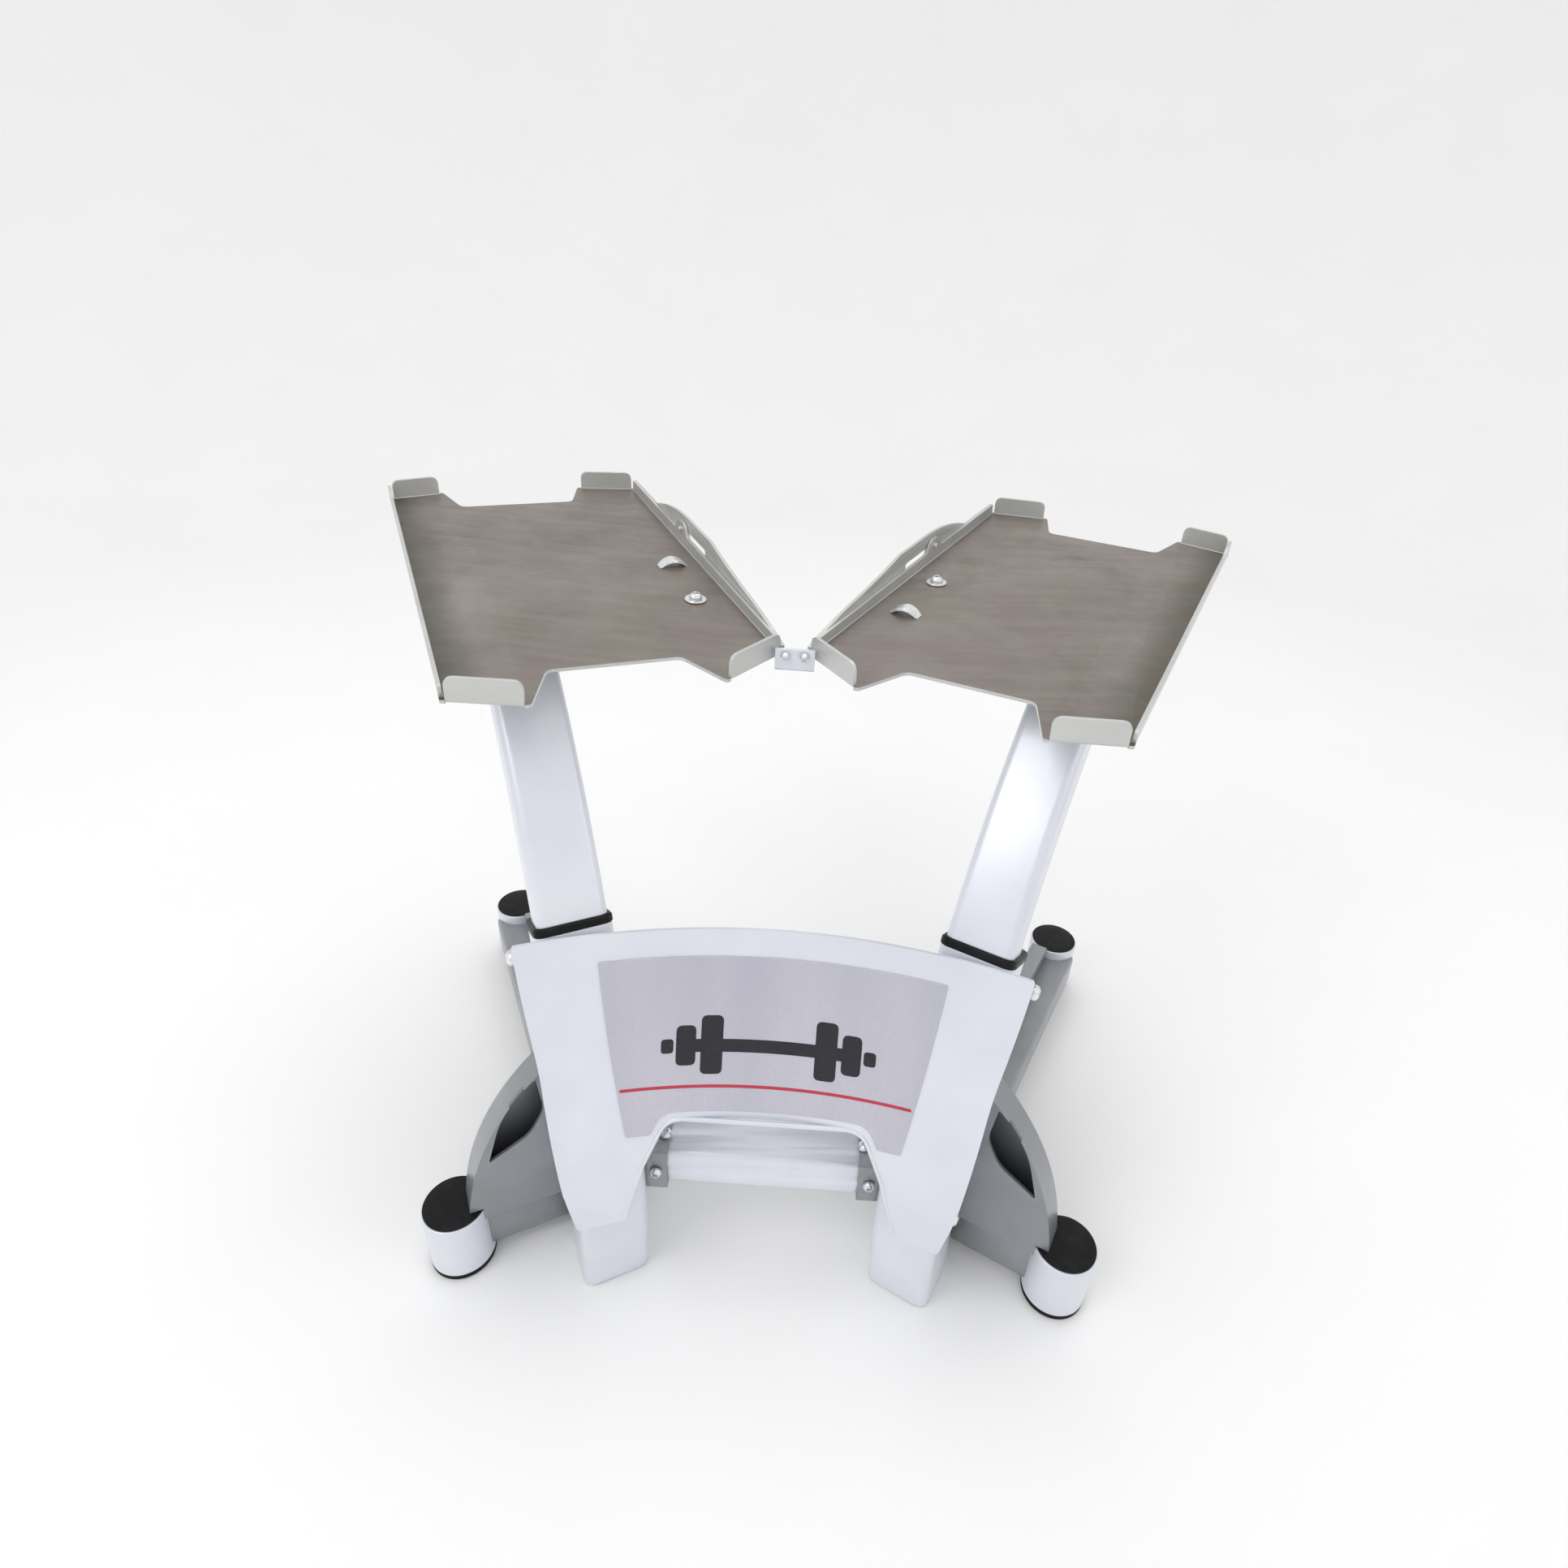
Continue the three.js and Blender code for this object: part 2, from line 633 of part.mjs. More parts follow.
// Pieces in the half's own frame, the same on both sides.
const halfPieces = [
  ["upright", uprightSolid(), paint],
  ["shoe", shoeSolid(), paint],
  ["post", postSolid(), paint],
  ["collar", collarSolid(), black],
  ["rear_leg", rearLegSolid(), greyPaint],
  ["outrigger", outriggerSolid(), greyPaint],
  ["gusset_front", frontGussetSolid(), greyPaint],
  ["gusset_rear", rearGussetSolid(), greyPaint],
  ["panel_bolt_top", aim(topBolt, [1, 0, 0], [TOP_BOLT.tab + GAP, TOP_BOLT.v, TOP_BOLT.z]), zinc],
  ["panel_bolt_low", aim(lowBolt, [1, 0, 0], [LOW_BOLT.tab + GAP, LOW_BOLT.v, LOW_BOLT.z]), zinc],
];
for (const [name, [u, v]] of Object.entries({ front: FRONT_FOOT, rear: REAR_FOOT })) {
  halfPieces.push(["foot_" + name, sleeve.translate(u, v, 0), paint]);
  halfPieces.push(["cap_" + name, cap.translate(u, v, 0), black]);
  halfPieces.push(["pad_" + name, pad.translate(u, v, 0), rubber]);
}

const SIDE_BOLT_AT = [-SHEET - 2 * GAP, SIDE_BOLT.v, SIDE_BOLT.height];
const trayPieces = [
  ["tray", traySolid(), trayMetal],
  ["side_plate", sidePlateSolid(), greyPaint],
  ["head_plate", headSolid(), greyPaint],
  ["side_bolt", aim(bolt(10, { head: 5.5 }), [-1, 0, 0], SIDE_BOLT_AT), zinc],
];

const floorBolt = bolt(16, { nut: SHEET + GAP + HEAD.thick + GAP, washer: 10 }).translate(0, 0, GAP);
const clip = clipSolid();
const floorFixings = {
  r: { tray_clip: [clip, 0], tray_bolt: [floorBolt, 1] },
  l: { tray_clip: [clip, 1], tray_bolt: [floorBolt, 0] },
};

for (const [side, sign] of Object.entries({ r: 1, l: -1 })) {
  const mirror = new THREE.Group();
  mirror.scale.x = sign;
  rack.add(mirror);
  const half = new THREE.Group();
  half.position.set(HALF_X, HALF_Y, 0);
  half.rotation.z = -SPLAY;
  mirror.add(half);
  const tray = new THREE.Group();
  tray.position.set(TRAY_AT.u, TRAY_AT.v, TRAY_AT.z);
  tray.rotation.x = TRAY_TILT;
  half.add(tray);
  for (const [name, body, material] of halfPieces) add(half, `${name}_${side}`, body, material);
  for (const [name, body, material] of trayPieces) add(tray, `${name}_${side}`, body, material);
  for (const [name, [body, place]] of Object.entries(floorFixings[side])) {
    const [u, v] = FLOOR_FIXINGS[place];
    add(tray, `${name}_${side}`, body, zinc).position.set(u, v, 0);
  }
  add(mirror, `crossbar_sleeve_${side}`, sleeveSolid(), greyPaint);
  add(mirror, `crossbar_screw_top_${side}`, screw, zinc).position.set(...TOP_SCREW);
  const front = add(mirror, `crossbar_screw_front_${side}`, screw, zinc);
  front.position.set(...FRONT_SCREW);
  front.rotation.x = Math.PI / 2;
  const link = add(mirror, `link_bolt_${side}`, bolt(9, { head: 4, shank: 2.5 }), zinc);
  link.position.set(LINK_SCREW.x, LINK.front - GAP, LINK_SCREW.z);
  link.rotation.x = Math.PI / 2;
}

add(rack, "crossbar", crossbarSolid(), paint);
add(rack, "panel", panelSolid(), paint);
add(rack, "label_plate", labelSolid(), brushed);
add(rack, "link_plate", linkSolid(), paint);

export default rack;
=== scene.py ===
import math

import bmesh
import bpy
from mathutils import Matrix, Vector


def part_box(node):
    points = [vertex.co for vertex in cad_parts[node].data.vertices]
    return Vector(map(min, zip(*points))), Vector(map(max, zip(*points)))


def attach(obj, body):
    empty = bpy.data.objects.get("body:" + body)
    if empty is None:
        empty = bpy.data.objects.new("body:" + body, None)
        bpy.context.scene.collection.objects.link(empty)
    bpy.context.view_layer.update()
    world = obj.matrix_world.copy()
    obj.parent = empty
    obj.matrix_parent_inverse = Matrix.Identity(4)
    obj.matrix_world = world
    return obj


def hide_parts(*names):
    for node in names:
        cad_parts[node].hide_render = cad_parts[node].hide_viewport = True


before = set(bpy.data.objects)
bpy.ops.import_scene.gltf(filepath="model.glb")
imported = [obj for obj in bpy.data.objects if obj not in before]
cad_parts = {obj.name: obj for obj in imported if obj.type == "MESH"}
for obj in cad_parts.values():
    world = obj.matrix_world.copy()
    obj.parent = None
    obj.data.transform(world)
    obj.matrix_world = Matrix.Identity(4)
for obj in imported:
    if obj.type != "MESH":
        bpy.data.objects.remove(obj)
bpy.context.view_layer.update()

MM = 0.001
SIDES = {"r": 1, "l": -1}

# ---- Driving dimensions, the same as the CAD part's ----
GAP = 0.3 * MM
WALL = 2 * MM
FRONT_FOOT = Vector((129, 85)) * MM  # in a half's frame: x outward, y backward
REAR_FOOT = Vector((-5, 510)) * MM
BOW_V, BOW_Z, BOW_FRONT = 0.632, 0.095, 0.640
UPRIGHT = {"width": 0.062, "depth": 0.060, "corner": 0.009, "front": 0.0}
POST = {"width": 0.057, "depth": 0.040, "corner": 0.008, "front": 0.0023}
UPRIGHT_TOP = 0.380
POST_BOTTOM = 0.310
SHOE_TOP = 0.0063
TRAY_AT = Vector((-200, 120.4, 569.7)) * MM
TRAY_TILT = math.radians(4.86)
TRAY_SHEET = 3 * MM
TUBE_EDGE = 0.0004  # the rounding of a tube's cut ends
HEAD_BOTTOM = -8.6 * MM  # the post's top is cut parallel to the tray, this far under its floor


def centre(node):
    low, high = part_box(node)
    return (low + high) / 2


# Both feet of the right half give the half's own frame.
_front, _rear = centre("foot_front_r").xy, centre("foot_rear_r").xy
_span = REAR_FOOT - FRONT_FOOT
SPLAY = math.atan2(_span.y, _span.x) - math.atan2((_rear - _front).y, (_rear - _front).x)
HALF = Matrix.Rotation(-SPLAY, 4, "Z")
HALF.translation = (_front - (HALF @ FRONT_FOOT.to_3d()).xy).to_3d()
HALF_ORIGIN = HALF.translation
MIRROR = Matrix.Diagonal((-1, 1, 1, 1))
TRAY = Matrix.Translation(TRAY_AT) @ Matrix.Rotation(TRAY_TILT, 4, "X")


def place(side, *inner):
    """The matrix from a half's own frame, or a frame inside it, to the row frame."""
    matrix = HALF.copy() if side == "r" else MIRROR @ HALF
    for step in inner:
        matrix = matrix @ step
    return matrix


# ---- Node material helpers ----
class Nodes:
    """A material with a Principled shader and short ways to add procedural nodes to it."""

    def __init__(self, name, color, metallic, roughness, **inputs):
        self.material = bpy.data.materials.new(name)
        self.material.use_nodes = True
        self.tree = self.material.node_tree
        self.shader = self.tree.nodes["Principled BSDF"]
        self.shader.inputs["Base Color"].default_value = (*color, 1)
        self.shader.inputs["Metallic"].default_value = metallic
        self.shader.inputs["Roughness"].default_value = roughness
        for key, value in inputs.items():
            self.shader.inputs[key.replace("_", " ")].default_value = value
        self.coordinates = self.add("ShaderNodeTexCoord").outputs["Object"]

    def add(self, kind, **settings):
        node = self.tree.nodes.new(kind)
        for key, value in settings.items():
            setattr(node, key, value)
        return node

    def link(self, source, target):
        self.tree.links.new(source, target)

    def mapped(self, scale=(1, 1, 1), rotation=(0, 0, 0), location=(0, 0, 0)):
        node = self.add("ShaderNodeMapping")
        node.inputs["Scale"].default_value = scale
        node.inputs["Rotation"].default_value = rotation
        node.inputs["Location"].default_value = location
        self.link(self.coordinates, node.inputs["Vector"])
        return node.outputs["Vector"]

    def noise(self, scale, detail=3, vector=None, distortion=0.0, rough=0.5):
        node = self.add("ShaderNodeTexNoise")
        node.inputs["Scale"].default_value = scale
        node.inputs["Detail"].default_value = detail
        node.inputs["Roughness"].default_value = rough
        node.inputs["Distortion"].default_value = distortion
        self.link(vector or self.coordinates, node.inputs["Vector"])
        return node.outputs["Fac"]

    def ramp(self, value, stops, interpolation="LINEAR"):
        node = self.add("ShaderNodeValToRGB")
        node.color_ramp.interpolation = interpolation
        elements = node.color_ramp.elements
        while len(elements) < len(stops):
            elements.new(0.5)
        for element, (position, color) in zip(elements, stops):
            element.position = position
            element.color = (*color, 1) if hasattr(color, "__len__") else (color, color, color, 1)
        self.link(value, node.inputs["Fac"])
        return node.outputs["Color"]

    def range(self, value, low, high, to_low, to_high):
        node = self.add("ShaderNodeMapRange")
        for key, number in zip(("From Min", "From Max", "To Min", "To Max"), (low, high, to_low, to_high)):
            node.inputs[key].default_value = number
        self.link(value, node.inputs["Value"])
        return node.outputs["Result"]

    def mix(self, factor, a, b, blend="MIX"):
        node = self.add("ShaderNodeMix", data_type="RGBA", blend_type=blend)
        for value, socket in ((factor, node.inputs[0]), (a, node.inputs[6]), (b, node.inputs[7])):
            if hasattr(value, "node"):
                self.link(value, socket)
            elif hasattr(value, "__len__"):
                socket.default_value = (*value, 1)
            else:
                socket.default_value = value
        return node.outputs[2]

    def color(self, source):
        self.link(source, self.shader.inputs["Base Color"])

    def roughness(self, source):
        self.link(source, self.shader.inputs["Roughness"])

    def bump(self, height, strength, distance):
        node = self.add("ShaderNodeBump")
        node.inputs["Strength"].default_value = strength
        node.inputs["Distance"].default_value = distance
        self.link(height, node.inputs["Height"])
        self.link(node.outputs["Normal"], self.shader.inputs["Normal"])


def painted(name, light, dark, roughness, metallic=0.35):
    """Metallic powder coat: faint clouds of two sizes, an orange-peel surface and uneven gloss."""
    m = Nodes(name, light, metallic, roughness, Coat_Weight=0.35, Coat_Roughness=0.18)
    clouds = m.noise(9, 4, distortion=0.4)
    patches = m.noise(30, 2)
    tone = m.mix(m.range(clouds, 0.3, 0.7, 0, 1), dark, light)
    m.color(m.mix(m.range(patches, 0.4, 0.75, 0, 0.2), tone, [c * 0.9 for c in dark]))
    m.roughness(m.range(m.noise(14, 2), 0.3, 0.7, roughness - 0.04, roughness + 0.06))
    m.bump(m.noise(60, 1), 0.03, 0.0005)
    return m.material


def tray_floor_material(side):
    """Worn brown-grey steel: streaks across the tray, blotches, scuffs, and painted shade in a dark band
    along the flanges, faint by the inner one and strong by the outer one.
    """
    sign = SIDES[side]
    m = Nodes("worn_tray_with_painted_shade_" + side, (0.3, 0.27, 0.24), 0.55, 0.42, Coat_Weight=0.15, Coat_Roughness=0.3)
    turn = (0, 0, sign * SPLAY)
    across = m.mapped((9, 90, 9), turn)
    streaks = m.noise(1.0, 6, across, 0.3, 0.62)
    fine = m.noise(1.0, 3, m.mapped((30, 900, 30), turn), 0.0, 0.7)
    blotches = m.noise(6, 5, distortion=1.1)
    stain = m.range(m.noise(11, 3, m.mapped((1, 1, 1), location=(3, 1, 2)), 0.6), 0.45, 0.65, 0, 0.6)
    browns = [(0.3, (0.13, 0.108, 0.085)), (0.5, (0.2, 0.172, 0.145)), (0.7, (0.27, 0.237, 0.215))]
    base = m.ramp(blotches, browns)
    base = m.mix(stain, base, (0.2, 0.15, 0.155))
    streaked = m.mix(m.range(streaks, 0.35, 0.68, 0, 0.4), base, (0.31, 0.278, 0.255))
    lined = m.mix(m.range(fine, 0.35, 0.7, 0, 0.28), streaked, (0.17, 0.15, 0.125))
    # Painted shade: the floor's colour darkens in a band along the flanges, where the bends shade it; faint
    # at the inner flange, strong at the outer one.
    separate = m.add("ShaderNodeSeparateXYZ")
    m.link(m.mapped((1, 1, 1), turn), separate.inputs[0])
    origin = place(side, TRAY) @ Vector((0, 0, 0))
    start = (Matrix.Rotation(sign * SPLAY, 3, "Z") @ origin).x
    outward = m.range(separate.outputs["X"], start, start + sign * 0.27, 0, 1)
    painted_flange_shade = m.ramp(outward, [(0.0, 0.35), (0.04, 0.0), (0.86, 0.0), (0.95, 0.8), (1.0, 0.9)])
    m.color(m.mix(painted_flange_shade, lined, (0.085, 0.08, 0.055)))
    m.roughness(m.range(m.noise(40, 5, distortion=0.5), 0.3, 0.7, 0.32, 0.5))
    m.bump(m.mix(0.5, fine, streaks), 0.16, 0.0004)
    return m.material


def brushed_label_material():
    """Brushed aluminium with fine upright lines and slow changes of tone."""
    m = Nodes("brushed_label", (0.5, 0.5, 0.57), 0.5, 0.36, Anisotropic=0.3)
    lines = m.noise(1.0, 4, m.mapped((900, 900, 14)), 0.0, 0.65)
    slow = m.noise(5, 3, m.mapped((3, 1, 0.6)))
    tone = m.mix(m.range(slow, 0.3, 0.7, 0, 1), (0.49, 0.49, 0.57), (0.58, 0.57, 0.645))
    m.color(m.mix(m.range(lines, 0.3, 0.7, 0, 0.35), tone, (0.43, 0.43, 0.49)))
    m.roughness(m.range(lines, 0.3, 0.7, 0.3, 0.46))
    m.bump(lines, 0.1, 0.0002)
    return m.material


def moulded_material(name, color, roughness, grain):
    """Moulded black plastic or rubber with a fine grain and dusty, uneven gloss."""
    m = Nodes(name, color, 0.0, roughness, IOR=1.27)
    dust = m.noise(45, 5, distortion=0.6)
    m.color(m.mix(m.range(dust, 0.45, 0.75, 0, 0.5), color, [c * 2.6 + 0.004 for c in color]))
    m.roughness(m.range(m.noise(120, 3), 0.3, 0.7, roughness - 0.08, roughness + 0.1))
    m.bump(m.noise(grain, 2), 0.25, 0.0003)
    return m.material


def zinc_material():
    """Bright zinc plating with fine scratches and faint clouds."""
    m = Nodes("bright_zinc", (0.82, 0.82, 0.84), 0.85, 0.24)
    clouds = m.noise(160, 4, distortion=1.0)
    m.color(m.mix(m.range(clouds, 0.3, 0.7, 0, 1), (0.68, 0.69, 0.72), (0.9, 0.9, 0.91)))
    m.roughness(m.range(m.noise(300, 3), 0.3, 0.7, 0.16, 0.34))
    m.bump(m.noise(1.0, 2, m.mapped((2400, 500, 900))), 0.08, 0.0002)
    return m.material


def ink_material(name, color):
    """Printed ink: almost even, with slight thin spots and the plate's grain showing through."""
    m = Nodes(name, color, 0.0, 0.5)
    thin = m.noise(700, 3)
    m.color(m.mix(m.range(thin, 0.55, 0.8, 0, 0.25), color, [c + 0.06 for c in color]))
    m.bump(m.noise(1.0, 2, m.mapped((900, 900, 14))), 0.05, 0.0002)
    return m.material


SILVER = painted("silver_paint", (0.76, 0.78, 0.84), (0.70, 0.72, 0.79), 0.37)
GREY = painted("grey_paint", (0.31, 0.32, 0.345), (0.24, 0.25, 0.265), 0.37, 0.45)
TRAY_EDGE = painted("tray_edge", (0.62, 0.63, 0.62), (0.5, 0.51, 0.49), 0.37, 0.5)
BLACK = moulded_material("black_plastic", (0.006, 0.006, 0.007), 0.42, 900)
RUBBER = moulded_material("black_rubber", (0.012, 0.012, 0.012), 0.72, 500)
ZINC = zinc_material()
LABEL = brushed_label_material()
INK = ink_material("black_ink", (0.008, 0.008, 0.014))
RED_INK = ink_material("red_ink", (0.5, 0.03, 0.06))
TRAY_FLOOR = {side: tray_floor_material(side) for side in SIDES}


# ---- Mesh helpers ----
def face_out(bm):
    """Turns the faces of a closed mesh outward."""
    bmesh.ops.recalc_face_normals(bm, faces=bm.faces)
    if bm.calc_volume(signed=True) < 0:
        bmesh.ops.reverse_faces(bm, faces=bm.faces)


def finish_piece(name, bm, matrix, materials, node=None, bevel=0.0, smooth=35):
    """Makes a piece from a bmesh, shades and bevels it, and lets it ride on the rack."""
    bm.transform(matrix)
    face_out(bm)
    mesh = bpy.data.meshes.new(name)
    bm.to_mesh(mesh)
    bm.free()
    materials = materials if isinstance(materials, (list, tuple)) else [materials]
    for material in materials:
        mesh.materials.append(material)
    piece = bpy.data.objects.new(name, mesh)
    bpy.context.scene.collection.objects.link(piece)
    mesh.shade_smooth()
    mesh.set_sharp_from_angle(angle=math.radians(smooth))
    if bevel:
        add_bevel(piece, bevel)
    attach(piece, "root")
    if node:
        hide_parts(node)
    return piece


def add_bevel(piece, width, angle=40, segments=2):
    bevel = piece.modifiers.new("edges", "BEVEL")
    bevel.width = width
    bevel.segments = segments
    bevel.limit_method = "ANGLE"
    bevel.angle_limit = math.radians(angle)
    bevel.harden_normals = True
    bevel.miter_outer = "MITER_ARC"


def rounded(points, steps=8):
    """A closed outline in two coordinates. Each point is (x, y) or (x, y, setback) to round its corner."""
    out = []
    count = len(points)
    for i, (x, y, *rest) in enumerate(points):
        setback = rest[0] if rest else 0
        here = Vector((x, y))
        if not setback:
            out.append(here)
            continue
        ends = [here + (Vector(points[j % count][:2]) - here).normalized() * setback for j in (i - 1, i + 1)]
        for k in range(steps + 1):
            t = k / steps
            out.append(ends[0] * (1 - t) ** 2 + here * (2 * t * (1 - t)) + ends[1] * t**2)
    return out


def rounded_section(width, depth, corner, steps=7):
    """A rectangle with round corners, centred across and measured in depth from its front face."""
    points = []
    for cx, cy, first in ((1, 1, 0), (-1, 1, 90), (-1, -1, 180), (1, -1, 270)):
        for k in range(steps + 1):
            angle = math.radians(first + 90 * k / steps)
            x = cx * (width / 2 - corner) + corner * math.cos(angle)
            d = depth / 2 + cy * (depth / 2 - corner) + corner * math.sin(angle)
            points.append((x, d))
    return points


def bridge(bm, a, b):
    """Quads between two closed loops of vertices."""
    for i in range(len(a)):
        j = (i + 1) % len(a)
        bm.faces.new((a[i], a[j], b[j], b[i]))


def revolve(profile, segments=48):
    """A turned solid about Z. Each point is (radius, height) or (radius, height, True) for a hexagon."""
    bm = bmesh.new()
    previous = None
    for radius, height, *hexagon in profile:
        if radius == 0:
            loop = [bm.verts.new((0, 0, height))]
        else:
            loop = []
            for k in range(segments):
                angle = 2 * math.pi * k / segments
                reach = radius
                if hexagon:
                    reach = radius / math.cos(angle % (math.pi / 3) - math.pi / 6)
                loop.append(bm.verts.new((reach * math.cos(angle), reach * math.sin(angle), height)))
        if previous:
            if len(previous) == 1 or len(loop) == 1:
                ring, pole = (loop, previous[0]) if len(previous) == 1 else (previous, loop[0])
                for k in range(segments):
                    bm.faces.new((ring[k], ring[(k + 1) % segments], pole))
            else:
                bridge(bm, previous, loop)
        previous = loop
    return bm


def arc_profile(centre_r, centre_z, radius, first, last, steps=6):
    """Points of a round edge in a turned profile, between two angles in degrees."""
    out = []
    for k in range(steps + 1):
        angle = math.radians(first + (last - first) * k / steps)
        out.append((centre_r + radius * math.cos(angle), centre_z + radius * math.sin(angle)))
    return out


def prism(points, low, high):
    """An outline in X and Y made solid between two heights."""
    bm = bmesh.new()
    bottom = [bm.verts.new((p[0], p[1], low)) for p in points]
    top = [bm.verts.new((p[0], p[1], high)) for p in points]
    bridge(bm, bottom, top)
    bm.faces.new(bottom)
    bm.faces.new(top)
    return bm


UPRIGHT_PLANE = Matrix(((1, 0, 0, 0), (0, 0, 1, 0), (0, 1, 0, 0), (0, 0, 0, 1)))  # (x, z, y) to (x, y, z)


def carve(bm, cutters):
    """Cuts solids out of a solid with booleans and returns the new bmesh."""
    made = []
    for part in [bm, *cutters]:
        face_out(part)
        mesh = bpy.data.meshes.new("carve")
        part.to_mesh(mesh)
        part.free()
        made.append(bpy.data.objects.new("carve", mesh))
        bpy.context.scene.collection.objects.link(made[-1])
    for cutter in made[1:]:
        boolean = made[0].modifiers.new("cut", "BOOLEAN")
        boolean.operation = "DIFFERENCE"
        boolean.solver = "MANIFOLD"
        boolean.object = cutter
    evaluated = made[0].evaluated_get(bpy.context.evaluated_depsgraph_get())
    out = bmesh.new()
    out.from_mesh(evaluated.to_mesh())
    for piece in made:
        bpy.data.objects.remove(piece)
    bmesh.ops.dissolve_limit(out, angle_limit=0.002, verts=out.verts, edges=out.edges)
    return out


# ---- The bow of the uprights and posts ----
def bow_point(x, depth, angle):
    radius = BOW_FRONT - depth
    return Vector((x, BOW_V - radius * math.cos(angle), BOW_Z + radius * math.sin(angle)))


def bow_front(z):
    """How far behind the half's origin the bow's front face lies at a height."""
    return BOW_V - math.sqrt(BOW_FRONT**2 - (z - BOW_Z) ** 2)


def bow_angle(z):
    return math.asin((z - BOW_Z) / BOW_FRONT)


def angle_at_plane(x, depth, point, normal):
    """The bow angle at which a line of the bar meets a plane."""
    low, high = -0.4, 1.2
    def side(angle):
        return (bow_point(x, depth, angle) - point).dot(normal)
    for _ in range(50):
        middle = (low + high) / 2
        if side(middle) > 0:
            high = middle
        else:
            low = middle
    return low


def bow_bar(bar, start, end, wall=WALL, rings=40):
    """A tube that follows the bow. start and end give each line's bow angle from (x, depth)."""
    bm = bmesh.new()
    outer = rounded_section(bar["width"], bar["depth"], bar["corner"])
    inner = rounded_section(bar["width"] - 2 * wall, bar["depth"] - 2 * wall, bar["corner"] - wall)
    shells = []
    for section, inset in ((outer, 0), (inner, wall)):
        rows = []
        for k in range(rings + 1):
            row = []
            for x, d in section:
                depth = d + inset + bar["front"]
                first, last = start(x, depth), end(x, depth)
                row.append(bm.verts.new(bow_point(x, depth, first + (last - first) * k / rings)))
            rows.append(row)
        for a, b in zip(rows, rows[1:]):
            bridge(bm, a, b)
        shells.append(rows)
    bridge(bm, shells[0][0], shells[1][0])
    bridge(bm, shells[0][-1], shells[1][-1])
    return bm


def build_columns():
    up = Vector((0, 0, 1))
    tray_normal = Vector((0, -math.sin(TRAY_TILT), math.cos(TRAY_TILT)))
    under_tray = TRAY @ Vector((0, 0, HEAD_BOTTOM))
    for side in SIDES:
        upright = bow_bar(
            UPRIGHT,
            lambda x, d: angle_at_plane(x, d, Vector((0, 0, SHOE_TOP)), up),
            lambda x, d: bow_angle(UPRIGHT_TOP),
        )
        node = f"upright_{side}"
        finish_piece(f"upright_tube_{side}", upright, place(side), SILVER, node, TUBE_EDGE)
        post = bow_bar(
            POST,
            lambda x, d: bow_angle(POST_BOTTOM),
            lambda x, d: angle_at_plane(x, d, under_tray, tray_normal),
        )
        finish_piece(f"post_tube_{side}", post, place(side), SILVER, f"post_{side}", TUBE_EDGE)


CROWN_INSET = 0.0015  # how far the collar's upper edge is chamfered


def build_collars():
    """A black boot that closes the upright's top around the post."""
    outside = {"width": 0.0642, "depth": 0.0622, "corner": 0.0105, "front": -0.0003}
    low, high = bow_angle(UPRIGHT_TOP) + 0.0006, bow_angle(0.3868)
    for side in SIDES:
        bm = bmesh.new()
        outer = rounded_section(outside["width"], outside["depth"], outside["corner"])
        hole = rounded_section(POST["width"] + 0.0008, POST["depth"] + 0.0008, POST["corner"] + 0.0004)
        crown = rounded_section(
            outside["width"] - 2 * CROWN_INSET,
            outside["depth"] - 2 * CROWN_INSET,
            outside["corner"] - CROWN_INSET,
        )
        loops = [
            (outer, outside["front"], low),
            (outer, outside["front"], high - 0.003),
            (crown, outside["front"] + CROWN_INSET, high),
            (hole, POST["front"] - 0.0004, high),
            (hole, POST["front"] - 0.0004, low),
        ]
        rows = []
        for section, front, angle in loops:
            rows.append([bm.verts.new(bow_point(x, d + front, angle)) for x, d in section])
        for a, b in zip(rows, rows[1:] + rows[:1]):
            bridge(bm, a, b)
        finish_piece(f"collar_boot_{side}", bm, place(side), BLACK, f"collar_{side}", 0.0006)


# ---- Feet ----
FOOT_RADIUS = 29.75 * MM
FOOT_BORE = 26.75 * MM


def foot_pieces():
    low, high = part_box("foot_front_r")
    top = high.z
    sleeve = [
        (FOOT_BORE, low.z),
        (FOOT_RADIUS - 0.0006, low.z),
        (FOOT_RADIUS, low.z + 0.0006),
        *arc_profile(FOOT_RADIUS - 0.0012, top - 0.0012, 0.0012, 0, 90),
        *arc_profile(FOOT_BORE + 0.0008, top - 0.0008, 0.0008, 90, 180),
        (FOOT_BORE, low.z),
    ]
    rim = FOOT_BORE + 0.0016
    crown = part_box("cap_front_r")[1].z
    cap = [
        (0, top - 0.026),
        (FOOT_BORE - GAP, top - 0.026),
        (FOOT_BORE - GAP, top + GAP),
        *arc_profile(rim - 0.0006, top + GAP + 0.0006, 0.0006, -90, 40, 4),
        (rim - 0.003, crown - 0.0011),
        (rim - 0.009, crown - 0.0004),
        (0.012, crown - 0.0001),
        (0, crown),
    ]
    pad_top = low.z - GAP
    pad = [
        (0, 0),
        (FOOT_RADIUS - 0.002, 0),
        *arc_profile(FOOT_RADIUS - 0.0016, 0.0016, 0.0014, -80, 0, 5),
        (FOOT_RADIUS, 0.0022),
        (FOOT_RADIUS - 0.0006, 0.0032),
        (FOOT_RADIUS - 0.0006, 0.0038),
        (FOOT_RADIUS, 0.0046),
        (FOOT_RADIUS, pad_top - 0.0004),
        (FOOT_RADIUS - 0.0004, pad_top),
        (FOOT_BORE - GAP, pad_top),
        (FOOT_BORE - GAP, 0.02),
        (0, 0.02),
    ]
    return {
        "foot": (sleeve, SILVER, "silver_paint"),
        "cap": (cap, BLACK, "black_plastic"),
        "pad": (pad, RUBBER, "rubber"),
    }


